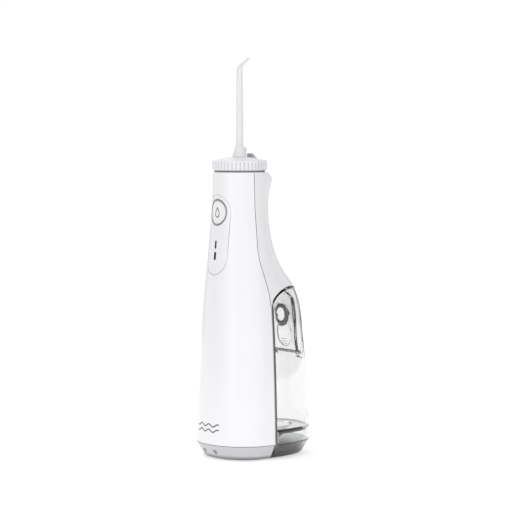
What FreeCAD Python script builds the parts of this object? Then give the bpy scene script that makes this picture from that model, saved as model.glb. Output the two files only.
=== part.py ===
"""A cordless water flosser: an upright handle with a clear removable water tank at its back.

x is right, y is back, z is up, in millimetres. The button faces -y. Inside this file every y is
counted from the jet tip's axis; the cell axis_y carries that axis to its place in the row's frame,
whose origin lies on the floor under the middle of the whole object.
"""
import FreeCAD, Part
import math
import os
import Sketcher
from FreeCAD import Placement, Rotation, Vector

DIMS = {
    # row frame and body form
    "axis_y": -13.0,
    "crease_z": 11.0,
    "foot_inset": 6.2,
    "front_power": 2.1,
    "rear_power": 2.4,
    "wall": 2.0,
    "seam_gap": 0.4,
    "seam_top_y": -0.8,
    "bay_y": 7.2,
    "arch_spring_z": 107.5,
    "arch_run": 24.0,
    "arch_rise": 17.0,
    # control panel, button and lights
    "panel_half_width": 11.75,
    "panel_low_z": 133.3,
    "panel_high_z": 190.7,
    "panel_depth": 1.0,
    "panel_gap": 0.25,
    "button_z": 178.2,
    "button_r": 8.2,
    "bezel_r": 9.6,
    "bezel_bore_r": 8.4,
    "bezel_proud": 0.35,
    "lens_high_z": 155.0,
    "lens_low_z": 146.8,
    "lens_height": 6.0,
    "lens_high_half": 1.0,
    "lens_low_half": 1.3,
    # knob, latch and tip
    "knob_r": 19.9,
    "knob_low_z": 208.3,
    "knob_edge_z": 215.7,
    "knob_crown_z": 217.9,
    "knob_ribs": 42,
    "socket_r": 5.0,
    "socket_bore_r": 3.05,
    "stem_r": 2.95,
    "stem_low_z": 198.0,
    "collar_top_z": 225.5,
    "tip_bend_z": 280.6,
    "tip_bend_r": 5.0,
    "tip_bend_deg": 53.0,
    "tip_end_length": 7.6,
    "latch_z": 211.9,
    # tank
    "tank_gap": 0.5,
    "tank_wall": 1.9,
    "tank_plate": 1.8,
    "tank_floor_z": 21.5,
    "sump_y": 27.0,
    "sump_low_z": 13.0,
    "sump_foot_r": 5.5,
    "sump_rim_r": 16.5,
    "spout_z": 17.0,
    "spout_r": 4.0,
    "spout_bore_r": 2.0,
    "port_z": 101.7,
    "port_r": 7.6,
    "seal_r": 6.9,
    "seal_bore_r": 5.05,
    "seal_flange_r": 8.7,
    "seal_reach": 2.4,
    "door_half_width": 12.2,
    "door_low_z": 74.5,
    "door_round_r": 17.3,
    "door_thick": 2.6,
    "hinge_y": 44.6,
    "hinge_r": 0.75,
    # battery, motor and gears
    "cell_r": 7.1,
    "cell_length": 50.0,
    "cell_low_z": 17.0,
    "cell_x": 7.6,
    "cell_y": -11.0,
    "motor_r": 12.2,
    "motor_low_z": 77.0,
    "motor_length": 29.8,
    "motor_y": -9.0,
    "shaft_r": 1.0,
    "gear_module": 0.8,
    "pinion_teeth": 8,
    "gear_teeth": 32,
    "gear_z": 124.5,
    "axle_r": 1.5,
    "crank_throw": 1.0,
    "crank_r": 5.5,
    "rod_length": 26.0,
    # pump
    "pump_y": -1.7,
    "piston_r": 4.97,
    "guide_r": 6.4,
    "running_gap": 0.08,
    "bore_r": 5.05,
    "pump_r": 8.3,
    "pump_low_z": 143.0,
    "pump_top_z": 170.0,
    "head_r": 9.0,
    "head_top_z": 181.0,
    "valve_r": 1.6,
    "inlet_x": -4.8,
    "hose_x": -15.6,
    "hose_low_x": -20.0,
    "hose_y": -1.2,
    "hose_r": 2.1,
    "hose_bore_r": 1.42,
    # board
    "board_y": -14.6,
    "board_thick": 1.2,
    "board_half_width": 8.6,
    "board_low_z": 136.0,
    "board_high_z": 194.5,
    "board_screw_low_z": 139.5,
    "board_screw_high_z": 191.6,
    "lead_r": 0.55,
    # screws
    "case_head_r": 2.3,
    "case_head_h": 1.3,
    "case_shank_r": 0.88,
    "case_shank_h": 3.3,
    "small_head_r": 1.7,
    "small_head_h": 1.2,
    "small_shank_r": 0.95,
    "small_shank_h": 3.6,
}

# Outlines of the body seen from the front and from the side: height above the floor and distance
# from the tip's axis to the left and right side, to the front and to the back.
HALF_WIDTH = [(11, 33.8), (45, 32.8), (85, 30.8), (110, 28.7),
              (140, 25.0), (165, 21.9), (185, 19.9), (207, 19.1)]
FRONT_DEPTH = [(11, 29.8), (45, 28.3), (85, 26.2), (124, 24.0),
               (150, 21.7), (176, 19.8), (195, 19.2), (207, 19.0)]
REAR_DEPTH = [
    (11, 55.8), (45, 54.3), (85, 51.6), (105, 49.4), (117, 46.3), (126, 40.7), (134, 33.6), (142, 28.0),
    (153, 22.9), (168, 19.7), (182, 19.2), (194, 21.0), (202, 23.7), (203.2, 23.5), (207, 19.2),
]
# The flat back of the tank that carries the filling door, seen from the side.
DOOR_FACE = [(71.0, 45.3), (75.0, 44.6), (81, 43.4), (91, 42.6),
             (100.8, 42.0), (111.5, 40.5), (117, 38.5), (121.5, 36.2)]
# Heights at which the body's level lines are drawn, closer together where it bends more.
STATIONS = [11, 20, 32, 45, 60, 75, 90, 100, 108, 116, 121, 126, 130, 134, 138, 143, 150, 160, 170, 180, 188,
            194, 198, 201, 202.6, 204, 205.5, 207]

# Places of the screws and feet, as (x, z) on the bay wall and (x, y) on the base.
FRAME_SCREWS = ((-9.5, 34.0), (9.5, 34.0), (-9.5, 72.5), (9.5, 72.5))
BASE_SCREWS = ((-17.0, -8.0), (17.0, -8.0))
BASE_SCREW_Z = 8.6
MOTOR_SCREW_X = 8.0
PUMP_SCREW_X = 10.4
FOOT_PADS = ((-15.0, 1.0), (15.0, 1.0), (-9.0, -16.0), (9.0, -16.0))
SIDE_GAP = 0.3  # between the filling door and the tank on each side

doc = FreeCAD.newDocument("water_flosser")
sheet = doc.addObject("Spreadsheet::Sheet", "Dims")
parts = {}


class Size:
    """A number that remembers the sheet expression it was worked out with."""

    def __init__(self, value, text):
        self.value = value
        self.text = text

    def __float__(self):
        return float(self.value)

    def __add__(self, other):
        return Size(self.value + float(other), f"({self.text} + {text_of(other)})")

    def __radd__(self, other):
        return Size(float(other) + self.value, f"({text_of(other)} + {self.text})")

    def __sub__(self, other):
        return Size(self.value - float(other), f"({self.text} - {text_of(other)})")

    def __rsub__(self, other):
        return Size(float(other) - self.value, f"({text_of(other)} - {self.text})")

    def __mul__(self, other):
        return Size(self.value * float(other), f"({self.text} * {text_of(other)})")

    __rmul__ = __mul__

    def __truediv__(self, other):
        return Size(self.value / float(other), f"({self.text} / {text_of(other)})")

    def __neg__(self):
        return Size(-self.value, f"(-{self.text})")


def text_of(number):
    if isinstance(number, Size):
        return number.text
    return f"{float(number):.6f}" if number >= 0 else f"({float(number):.6f})"


class Sheet:
    """Gives every alias of the sheet as a Size."""

    def __getattr__(self, alias):
        return Size(float(sheet.get(alias)), f"Dims.{alias}")


def fill_sheet():
    outlines = {"half_width": HALF_WIDTH, "front_depth": FRONT_DEPTH, "rear_depth": REAR_DEPTH,
                "door_face": DOOR_FACE}
    cells = dict(DIMS)
    for name, points in outlines.items():
        for count, (height, distance) in enumerate(points, start=1):
            cells[f"{name}_height_{count}"] = height
            cells[f"{name}_{count}"] = distance
    for row, (alias, value) in enumerate(cells.items(), start=1):
        sheet.set(f"A{row}", alias)
        sheet.set(f"B{row}", str(value))
        sheet.setAlias(f"B{row}", alias)
    doc.recompute()


fill_sheet()
d = Sheet()
TURNS = {"X": Rotation(Vector(0, 1, 0), 90), "Y": Rotation(Vector(1, 0, 0), -90), "Z": Rotation()}


# ---- native objects, bound to the sheet ----


def bind(obj, **sizes):
    for name, size in sizes.items():
        obj.setExpression(name, text_of(size))
    return obj


def place(obj, at, turn="Z"):
    obj.Placement = Placement(Vector(0, 0, 0), TURNS[turn])
    for letter, size in zip("xyz", (at[0], d.axis_y + at[1], at[2])):
        obj.setExpression(f"Placement.Base.{letter}", text_of(size))
    return obj


def block(x, y, z):
    """A box between the two values of each axis."""
    box = doc.addObject("Part::Box", "Block")
    bind(box, Length=x[1] - x[0], Width=y[1] - y[0], Height=z[1] - z[0])
    return place(box, (x[0], y[0], z[0]))


def rod(radius, length, at, axis="Z"):
    cylinder = doc.addObject("Part::Cylinder", "Rod")
    bind(cylinder, Radius=radius, Height=length)
    return place(cylinder, at, axis)


def ball(radius, at):
    return place(bind(doc.addObject("Part::Sphere", "Ball"), Radius=radius), at)


def ring(middle_radius, wire_radius, at, axis="Z"):
    torus = doc.addObject("Part::Torus", "Ring")
    bind(torus, Radius1=middle_radius, Radius2=wire_radius)
    return place(torus, at, axis)


def fuse(*shapes):
    if len(shapes) == 1:
        return shapes[0]
    joined = doc.addObject("Part::MultiFuse", "Union")
    joined.Shapes = list(shapes)
    return joined


def cut(base, *tools):
    result = doc.addObject("Part::Cut", "Cut")
    result.Base = base
    result.Tool = fuse(*tools)
    return result


def common(*shapes):
    result = doc.addObject("Part::MultiCommon", "Common")
    result.Shapes = list(shapes)
    return result


def tube(radius, bore_radius, length, at, axis="Z"):
    return cut(rod(radius, length, at, axis), rod(bore_radius, length, at, axis))


def group(*solids):
    """Separate solids that share one node."""
    several = doc.addObject("Part::Compound", "Group")
    several.Links = list(solids)
    return several


def outline(body, plane, points):
    """A closed sketch of straight lines, every corner held by two bound distances."""
    sketch = body.newObject("Sketcher::SketchObject", "Outline")
    origin_plane = next(f for f in body.Origin.OriginFeatures if f.Role == plane)
    sketch.AttachmentSupport = [(origin_plane, "")]
    sketch.MapMode = "FlatFace"
    corners = [Vector(float(x), float(y), 0) for x, y in points]
    count = len(corners)
    for i in range(count):
        sketch.addGeometry(Part.LineSegment(corners[i], corners[(i + 1) % count]))
    for i in range(count):
        sketch.addConstraint(Sketcher.Constraint("Coincident", i, 2, (i + 1) % count, 1))
    for i, corner in enumerate(points):
        for kind, size in zip(("DistanceX", "DistanceY"), corner):
            held = sketch.addConstraint(Sketcher.Constraint(kind, -1, 1, i, 1, float(size)))
            sketch.setExpression(f"Constraints[{held}]", text_of(size))
    return sketch


def turned(points, at=(0, 0, 0), axis="Z"):
    """A piece turned about an axis: points are (radius, height)."""
    body = doc.addObject("PartDesign::Body", "Turned")
    sketch = outline(body, "XZ_Plane", points)
    revolution = body.newObject("PartDesign::Revolution", "Revolution")
    revolution.Profile = sketch
    revolution.ReferenceAxis = (sketch, ["V_Axis"])
    revolution.Angle = 360
    return place(body, at, axis)


def formed(shape):
    """A free-form solid, drawn about the tip's axis and moved to its place."""
    feature = doc.addObject("Part::Feature", "Form")
    feature.Shape = shape
    feature.Placement = Placement(Vector(0, float(d.axis_y), 0), Rotation()).multiply(shape.Placement)
    return feature


def part(name, obj):
    obj.Label = name
    parts[name] = obj
    return obj


# ---- the body's form ----


def smooth(points, z):
    """The value at height z of a curve through the points that never overshoots them."""
    heights = [p[0] for p in points]
    values = [p[1] for p in points]
    slopes = [(b - a) / (v - u) for a, b, u, v in zip(values, values[1:], heights, heights[1:])]
    turns = [slopes[0]]
    for before, after in zip(slopes, slopes[1:]):
        turns.append(2 * before * after / (before + after) if before * after > 0 else 0.0)
    turns.append(slopes[-1])
    i = max(k for k in range(len(slopes)) if heights[k] <= z or k == 0)
    span = heights[i + 1] - heights[i]
    t = (z - heights[i]) / span
    rise = values[i + 1] - values[i]
    return (
        values[i]
        + rise * t * t * (3 - 2 * t)
        + span * t * (1 - t) * (turns[i] * (1 - t) - turns[i + 1] * t)
    )


def sheet_points(name, points):
    return [(float(sheet.get(f"{name}_height_{i}")), float(sheet.get(f"{name}_{i}")))
            for i in range(1, len(points) + 1)]


def loop(z, half_width, front, rear):
    """One closed level line of the body: a rounded oval, longer behind than in front."""
    points = []
    count = 28
    for i in range(count):
        angle = 2 * math.pi * i / count - math.pi / 2
        side, depth = math.cos(angle), math.sin(angle)
        power = float(d.front_power if depth < 0 else d.rear_power)
        reach = front if depth < 0 else rear
        points.append(Vector(
            half_width * math.copysign(abs(side) ** (2 / power), side),
            reach * math.copysign(abs(depth) ** (2 / power), depth),
            z,
        ))
    curve = Part.BSplineCurve()
    curve.interpolate(Points=points, PeriodicFlag=True, Parameters=[i / count for i in range(count + 1)])
    return Part.Wire([curve.toShape()])


def level(z, inward):
    widths, fronts, rears = (sheet_points(*pair) for pair in (
        ("half_width", HALF_WIDTH), ("front_depth", FRONT_DEPTH), ("rear_depth", REAR_DEPTH)))
    return (smooth(widths, z) - inward, smooth(fronts, z) - inward, smooth(rears, z) - inward)


HULLS = {}


def hull(inward):
    """The body from the crease up to its top, moved inward by that much."""
    if inward not in HULLS:
        HULLS[inward] = Part.makeLoft([loop(z, *level(z, inward)) for z in STATIONS], True, False)
    return HULLS[inward]


def skirt(inward, low=0.0, round_off=0.0):
    """The tapered stretch between the floor and the crease, its lower edge rounded off."""
    crease = float(d.crease_z)
    rings = [(low + round_off * rise, round_off * tuck) for rise, tuck in
             ((0, 1), (0.13, 0.5), (0.5, 0.13), (1, 0))] if round_off else [(low, 0.0)]
    sections = []
    for z, tuck in rings + [(crease, 0.0)]:
        inset = float(d.foot_inset) * (1 - z / crease) + tuck
        sections.append(loop(z, *[size - inset for size in level(crease, inward)]))
    return Part.makeLoft(sections, True, True)


def side_prism(edges, half_span=60):
    """A closed outline in the plane x = 0, as (y, z), thickened to both sides."""
    face = Part.Face(Part.Wire(edges))
    face.translate(Vector(-half_span, 0, 0))
    return face.extrude(Vector(2 * half_span, 0, 0))


def line(a, b):
    return Part.LineSegment(Vector(0, *a), Vector(0, *b)).toShape()


def curve(*poles):
    bezier = Part.BezierCurve()
    bezier.setPoles([Vector(0, *p) for p in poles])
    return bezier.toShape()


def seam(shift):
    """The parting line of the two handle shells, from the top down: (y, z)."""
    high, low = float(d.seam_top_y) + shift, float(d.bay_y) + shift
    top, bend, end = 230, 152, 110
    return [line((high, top), (high, bend)),
            curve((high, bend), (high, bend - 14), (low, end + 18), (low, end))]


def arch(inset):
    """The tank bay's outline from its front edge up and over to the back, moved into the tank."""
    y, z = float(d.bay_y) + inset, float(d.arch_spring_z)
    run, rise = float(d.arch_run) - inset, float(d.arch_rise) - inset
    round_off = 0.5523
    return [
        curve((y, z), (y, z + rise * round_off), (y + run * (1 - round_off), z + rise), (y + run, z + rise)),
        line((y + run, z + rise), (90, z + rise)),
    ]


def front_region(shift):
    low = float(d.bay_y) + shift
    high = float(d.seam_top_y) + shift
    return side_prism(seam(shift) + [
        line((low, 110), (low, -10)), line((low, -10), (-60, -10)), line((-60, -10), (-60, 230)),
        line((-60, 230), (high, 230))])


def rear_region(shift, roof):
    """Behind the seam and above the bay's arch; roof moves the arch up and forward."""
    low = float(d.bay_y) + shift
    high = float(d.seam_top_y) + shift
    behind = side_prism(seam(shift) + [
        line((low, 110), (low, 100)), line((low, 100), (90, 100)), line((90, 100), (90, 230)),
        line((90, 230), (high, 230))])
    return behind.cut(under_arch(-roof, 90))


def under_arch(inset, low_z):
    """The tank bay's own space: below the arch, behind its front edge and above low_z."""
    spring, front = float(d.arch_spring_z), float(d.bay_y) + inset
    return side_prism(arch(inset) + [
        line((90, spring + float(d.arch_rise) - inset), (90, low_z)), line((90, low_z), (front, low_z)),
        line((front, low_z), (front, spring))])


def tank_region(inset, front_y, low_z):
    """The space under the arch, behind front_y and above low_z."""
    behind = Part.makeBox(120, 120, 240, Vector(-60, front_y, -10))
    return under_arch(inset, low_z).common(behind)


def stadium(half_width, low_z, high_z, near_y, far_y):
    """A pill-shaped outline seen from the front, reaching from near_y to far_y."""
    low, high = low_z + half_width, high_z - half_width
    edges = [
        Part.LineSegment(Vector(half_width, 0, low), Vector(half_width, 0, high)).toShape(),
        Part.Arc(Vector(half_width, 0, high), Vector(0, 0, high_z), Vector(-half_width, 0, high)).toShape(),
        Part.LineSegment(Vector(-half_width, 0, high), Vector(-half_width, 0, low)).toShape(),
        Part.Arc(Vector(-half_width, 0, low), Vector(0, 0, low_z), Vector(half_width, 0, low)).toShape(),
    ]
    face = Part.Face(Part.Wire(edges))
    face.translate(Vector(0, near_y, 0))
    return face.extrude(Vector(0, far_y - near_y, 0))


def along_y(radius, x, z, near_y, far_y):
    return Part.makeCylinder(radius, far_y - near_y, Vector(x, near_y, z), Vector(0, 1, 0))


def screw(foot, axis, way, size):
    """A cross-head screw whose shank starts at foot and runs along the axis, way +1 or -1."""
    head_r, head_h, shank_r, shank_h = size
    turn = {"Y": Vector(0, 1, 0), "Z": Vector(0, 0, 1)}[axis] * way
    foot = Vector(*foot)
    head = Part.makeCylinder(head_r, head_h, foot - turn * head_h, turn)
    shank = Part.makeCylinder(shank_r, shank_h, foot, turn)
    depth, reach = head_h * 0.55, head_r * 0.65
    drive = Part.makeBox(0.45, 2 * reach, depth, Vector(-0.225, -reach, 0)).fuse(
        Part.makeBox(2 * reach, 0.45, depth, Vector(-reach, -0.225, 0)))
    drive.Placement = Placement(foot - turn * head_h, Rotation(Vector(0, 0, 1), turn))
    return head.cut(drive).fuse(shank)


def fasteners():
    """The case screws and the smaller screws of the motor, pump and board."""
    case = [float(v) for v in (d.case_head_r, d.case_head_h, d.case_shank_r, d.case_shank_h)]
    solids = [screw((x, 3.5, z), "Y", 1, case) for x, z in FRAME_SCREWS]
    solids += [screw((x, y, BASE_SCREW_Z), "Z", 1, case) for x, y in BASE_SCREWS]
    part("case_screws", formed(Part.makeCompound(solids)))
    small = [float(v) for v in (d.small_head_r, d.small_head_h, d.small_shank_r, d.small_shank_h)]
    board_back = float(d.board_y + d.board_thick)
    solids = []
    for z in (d.board_screw_low_z, d.board_screw_high_z):
        solids.append(screw((0, board_back, float(z)), "Y", -1, small))
    for side in (-1, 1):
        motor_head_z = float(motor_top()) + 2.5
        pump_head_z = float(d.pump_low_z) + 2.2
        solids.append(screw((side * MOTOR_SCREW_X, float(d.motor_y), motor_head_z), "Z", -1, small))
        solids.append(screw((side * PUMP_SCREW_X, float(d.pump_y), pump_head_z), "Z", -1, small))
    part("small_screws", formed(Part.makeCompound(solids)))


def motor_top():
    return d.motor_low_z + d.motor_length


FULL = hull(0)
INNER = hull(float(d.wall))


def lens_slots(room):
    """The two upright slots of the lights, the lower one wider, with room all round."""
    reach = float(d.lens_height) / 2 + room
    slots = []
    for half, z in ((d.lens_high_half, d.lens_high_z), (d.lens_low_half, d.lens_low_z)):
        slots.append(stadium(float(half) + room, float(z) - reach, float(z) + reach, -40, 0))
    return slots


def handle_shells():
    """The handle's front shell with its control panel, button and lights."""
    gap = float(d.seam_gap) / 2
    crease = float(d.crease_z)
    above_base = Part.makeBox(120, 140, 240, Vector(-60, -60, crease + gap))
    front = FULL.common(front_region(-gap)).common(above_base).cut(INNER)
    panel_floor = hull(float(d.panel_depth))
    panel_gap = float(d.panel_gap)
    half, low, high = (float(v) for v in (d.panel_half_width, d.panel_low_z, d.panel_high_z))
    recess = stadium(half + panel_gap, low - panel_gap, high + panel_gap, -40, 0).cut(panel_floor)
    button_z = float(d.button_z)
    openings = [along_y(float(d.bezel_r) + 0.05, 0, button_z, -40, 0)] + lens_slots(0.05)
    for tool in [recess] + openings:
        front = front.cut(tool)
    board_front = float(d.board_y)
    for z in (float(d.board_screw_low_z), float(d.board_screw_high_z)):
        boss = along_y(2.3, 0, z, -30, board_front).common(hull(float(d.wall) - 0.4))
        front = front.fuse(boss).cut(along_y(0.97, 0, z, board_front - 2.6, board_front + 1))
    part("front_shell", formed(front))

    panel = stadium(half, low, high, -40, 0).common(FULL).cut(hull(float(d.panel_depth) - 0.02))
    for tool in openings:
        panel = panel.cut(tool)
    part("control_panel", formed(panel))

    proud = hull(-float(d.bezel_proud))
    bezel_body = proud.cut(INNER)
    bezel = along_y(float(d.bezel_r), 0, button_z, -40, 0)
    bezel = bezel.cut(along_y(float(d.bezel_bore_r), 0, button_z, -40, 0))
    part("button_bezel", formed(bezel.common(bezel_body)))
    cap = along_y(float(d.button_r), 0, button_z, -40, 0).common(hull(-0.1)).cut(hull(1.4))
    stem_end = level(button_z, float(d.wall))[1] + 0.1
    stem = along_y(1.8, 0, button_z, -level(button_z, 1.0)[1], -stem_end)
    part("power_button", formed(cap.fuse(stem)))
    membrane = along_y(10.5, 0, button_z, -40, 0)
    membrane = membrane.common(hull(float(d.wall) + 0.02)).cut(hull(float(d.wall) + 0.6))
    part("button_membrane", formed(membrane))
    lenses = [slot.common(hull(0.08)).cut(hull(float(d.wall) + 0.9)) for slot in lens_slots(0)]
    part("indicator_lenses", formed(Part.makeCompound(lenses)))


def rear_handle():
    """The handle's back shell over the tank bay, and the wall behind the tank."""
    gap, crease, roof = float(d.seam_gap) / 2, float(d.crease_z), float(d.wall)
    rear = FULL.common(rear_region(gap, 0))
    rear = rear.cut(INNER.common(rear_region(-6, roof)))
    part("rear_shell", formed(rear))
    bay_y = float(d.bay_y)
    bay_slab = Part.makeBox(120, 1.7, 102.6, Vector(-60, bay_y - 2.0, crease + 0.5))
    bay = hull(float(d.wall) + 0.15).common(bay_slab)
    bay = bay.cut(along_y(float(d.spout_r) + 0.3, 0, float(d.spout_z), -10, 20))
    for x, z in FRAME_SCREWS:
        bay = bay.cut(along_y(0.9, x, z, -10, 20))
    for x, y in BASE_SCREWS:
        foot = Part.makeBox(6, bay_y - 2.3 - y + 3.4, 3.7, Vector(x - 3, y - 3.4, 10.5))
        bridge = Part.makeBox(6, 2.0, 2.7, Vector(x - 3, bay_y - 3.0, 11.5))
        bay = bay.fuse(foot).fuse(bridge).cut(Part.makeCylinder(0.9, 6, Vector(x, y, 9)))
    part("bay_wall", formed(bay))


def base():
    """The grey cap under the handle, its feet and its charging contacts."""
    crease, bay_y, gap = float(d.crease_z), float(d.bay_y), float(d.seam_gap) / 2
    floor_z, wall = 0.5, float(d.wall)
    front_half = Part.makeBox(120, 100, 40, Vector(-60, bay_y - 0.2 - 100, -5))
    outer = skirt(0, floor_z, 1.6).common(front_half)
    outer = outer.common(Part.makeBox(200, 200, crease - gap - floor_z, Vector(-100, -100, floor_z)))
    hollow = skirt(wall, floor_z).common(Part.makeBox(120, 100, 40, Vector(-60, bay_y - 2.2 - 100, 2.5)))
    cap = outer.cut(hollow)
    for x, y in BASE_SCREWS:
        cap = cap.fuse(Part.makeCylinder(3.5, 9.4, Vector(x, y, 1.0)))
        cap = cap.cut(Part.makeCylinder(float(d.case_head_r) + 0.3, BASE_SCREW_Z, Vector(x, y, 0)))
        cap = cap.cut(Part.makeCylinder(1.0, 12, Vector(x, y, 0)))
    pins = []
    slope = math.atan2(float(d.foot_inset), crease)
    out = Vector(0, -math.cos(slope), -math.sin(slope))
    for side in (-1, 1):
        x, z = side * 6.4, 5.6
        reach = level(crease, float(d.foot_inset) * (1 - z / crease))[1]
        y = -reach * (1 - (abs(x) / level(crease, 0)[0]) ** 2.1) ** (1 / 2.1)
        face = Vector(x, y, z)
        cap = cap.cut(Part.makeCylinder(2.0, 0.7, face - out * 0.5, out))
        cap = cap.cut(Part.makeCylinder(1.32, 6, face - out * 4, out))
        pin = Part.makeCylinder(1.3, 3.6, face - out * 3.9, out)
        pin = pin.fuse(Part.makeSphere(1.3, face - out * 0.75))
        pins.append(pin.fuse(Part.makeCylinder(1.9, 0.5, face - out * 4.3, out)))
    for x, y in FOOT_PADS:
        cap = cap.cut(Part.makeCylinder(3.05, 0.9, Vector(x, y, 0)))
    part("base_cap", formed(cap))
    part("charge_contacts", formed(Part.makeCompound(pins)))
    pads = [Part.makeCone(2.7, 3.0, 0.9, Vector(x, y, 0)) for x, y in FOOT_PADS]
    part("foot_pads", formed(Part.makeCompound(pads)))


def knob():
    """The ribbed ring that turns the tip, with its latch and eject button."""
    r, low, edge, crown = d.knob_r, d.knob_low_z, d.knob_edge_z, d.knob_crown_z
    cavity_r, roof = 16.6, 1.4
    body = doc.addObject("PartDesign::Body", "Knob")
    sketch = outline(body, "XZ_Plane", [
        (r - 0.9, low), (r, low + 0.8), (r, edge - 0.9), (r - 0.4, edge - 0.3), (r - 1.3, edge),
        (r * 0.5, edge + (crown - edge) * 0.78), (d.socket_r + 0.6, crown), (d.socket_r + 0.05, crown),
        (d.socket_r + 0.05, crown - roof - 1.1), (cavity_r, crown - roof - 1.9), (cavity_r, low)])
    revolution = body.newObject("PartDesign::Revolution", "Revolution")
    revolution.Profile = sketch
    revolution.ReferenceAxis = (sketch, ["V_Axis"])
    revolution.Angle = 360
    doc.recompute()
    groove = outline(body, "XY_Plane", [
        (r - 0.55, -0.42), (r + 0.5, -0.75), (r + 0.5, 0.75), (r - 0.55, 0.42)])
    groove.AttachmentOffset = Placement(Vector(0, 0, float(low) - 1), Rotation())
    groove.setExpression("AttachmentOffset.Base.z", text_of(low - 1))
    pocket = body.newObject("PartDesign::Pocket", "Groove")
    pocket.Profile = groove
    pocket.Reversed = True
    bind(pocket, Length=edge - low - 0.6)
    pattern = body.newObject("PartDesign::PolarPattern", "Grooves")
    pattern.Originals = [pocket]
    pattern.Axis = (sketch, ["V_Axis"])
    pattern.Angle = 360
    pattern.setExpression("Occurrences", text_of(d.knob_ribs))
    body.Tip = pattern
    place(body, (0, 0, 0))
    slot = block((-3.35, 3.35), (7.3, 13.5), (crown - 4.2, crown + 2))
    part("rotation_knob", cut(body, slot))

    plate_z = d.latch_z
    tab = cut(block((-3.1, 3.1), (8.9, 13.2), (plate_z, crown + 2.6)),
              rod(7.0, 8, (-4, 15.6, crown + 6.6), "X"))
    plate = cut(block((-4.6, 4.6), (-7.4, 9.0), (plate_z, plate_z + 1.2)),
                rod(d.stem_r + 0.2, 4, (0, 0, plate_z - 1)),
                block((-3.15, 3.15), (0, 2.2), (plate_z - 1, plate_z + 2)),
                rod(d.stem_r + 0.2, 4, (0, 2.2, plate_z - 1)))
    part("eject_button", fuse(tab, plate))
    part("latch_spring", spring(1.15, 0.22, 4, Vector(0, -14.4, float(plate_z) + 1.35), 6.7, Vector(0, 1, 0)))

    r_out = d.socket_r
    hub = turned([
        (d.socket_bore_r, 190.6), (r_out - 0.6, 190.6), (r_out - 0.6, 193.4), (r_out - 1.5, 193.4),
        (r_out - 1.5, 195.0), (r_out - 0.6, 195.0), (r_out - 0.6, 197.6), (r_out, 197.6), (r_out, 201.9),
        (7.6, 201.9), (7.6, 203.8), (r_out, 203.8), (r_out, 209.4), (16.5, 209.4), (16.5, 211.6),
        (d.socket_bore_r, 211.6)])
    part("tip_socket", fuse(hub, block((-2.5, 2.5), (-15.9, -14.8), (211.4, 214.3))))
    part("socket_ring", ring(r_out - 1.0, 0.47, (0, 0, 194.2)))
    part("knob_washer", turned([(15.2, 207.05), (18.3, 207.05), (18.3, low - 0.05), (15.2, low - 0.05)]))
    part("neck_plate", cut(
        formed(hull(float(d.wall) + 0.1).common(Part.makeBox(80, 80, 3.0, Vector(-40, -40, 204.0)))),
        rod(r_out + d.running_gap, 10, (0, 0, 200))))


def spring(mean_r, wire_r, turns, foot, length, along):
    """A coil spring from foot, that long, along a direction."""
    helix = Part.makeHelix(length / turns, length, mean_r)
    start = Vector(mean_r, 0, 0)
    tangent = helix.Edges[0].tangentAt(helix.Edges[0].FirstParameter)
    circle = Part.Wire([Part.makeCircle(wire_r, start, tangent)])
    coil = Part.Wire(helix.Edges).makePipeShell([circle], True, True)
    coil.Placement = Placement(foot, Rotation(Vector(0, 0, 1), along))
    return formed(coil)


def tip():
    """The jet tip: a tapered tube with a bent end, and its moulded collar."""
    top, bend_z = float(d.collar_top_z), float(d.tip_bend_z)
    bend_r, bend = float(d.tip_bend_r), math.radians(float(d.tip_bend_deg))
    end = float(d.tip_end_length)
    stem_z = float(d.stem_low_z)

    way = Vector(0, math.sin(bend), math.cos(bend))
    elbow_end = Vector(0, bend_r * (1 - math.cos(bend)), bend_z + bend_r * math.sin(bend))

    def tapered(shaft_r, elbow_r, end_r):
        """A round solid along the centreline, from the collar's foot to the mouth."""
        low = top - 7.5
        shaft = Part.makeCone(shaft_r, elbow_r, bend_z - low, Vector(0, 0, low))
        steps = 6
        circles = []
        for i in range(steps + 1):
            angle = bend * i / steps
            centre = Vector(0, bend_r * (1 - math.cos(angle)), bend_z + bend_r * math.sin(angle))
            radius = elbow_r + (end_r * 1.35 - elbow_r) * i / steps
            facing = Vector(0, math.sin(angle), math.cos(angle))
            circles.append(Part.Wire([Part.makeCircle(radius, centre, facing)]))
        elbow = Part.makeLoft(circles, True, False)
        nose = Part.makeCone(end_r * 1.35, end_r, end, elbow_end, way)
        return shaft.fuse(elbow).fuse(nose)

    outer = tapered(2.75, 2.3, 1.05)
    stem = Part.makeCylinder(float(d.stem_r), top - 7.5 - stem_z, Vector(0, 0, stem_z))
    latch_z = float(d.latch_z)
    stem = stem.cut(Part.makeCylinder(4, 1.6, Vector(0, 0, latch_z - 0.2)).cut(
        Part.makeCylinder(2.4, 1.6, Vector(0, 0, latch_z - 0.2))))
    bore = tapered(1.35, 1.15, 0.5).fuse(Part.makeCylinder(1.35, top - stem_z, Vector(0, 0, stem_z)))
    bore = bore.fuse(Part.makeCylinder(0.5, 2, elbow_end + way * (end - 0.5), way))
    part("jet_tip", formed(outer.fuse(stem).cut(bore)))
    crown = d.knob_crown_z + 0.12
    collar = turned([
        (0, crown), (5.2, crown), (5.2, crown + 0.7), (3.5, d.collar_top_z - 0.5), (3.1, d.collar_top_z),
        (0, d.collar_top_z)])
    lug = block((-0.9, 0.9), (3.0, 5.4), (d.collar_top_z - 5.0, d.collar_top_z - 0.5))
    bore = turned([
        (0, crown - 1), (2.76, crown - 1), (2.76, crown), (2.70, d.collar_top_z + 1),
        (0, d.collar_top_z + 1)])
    part("tip_collar", cut(fuse(collar, lug), bore))


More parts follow.
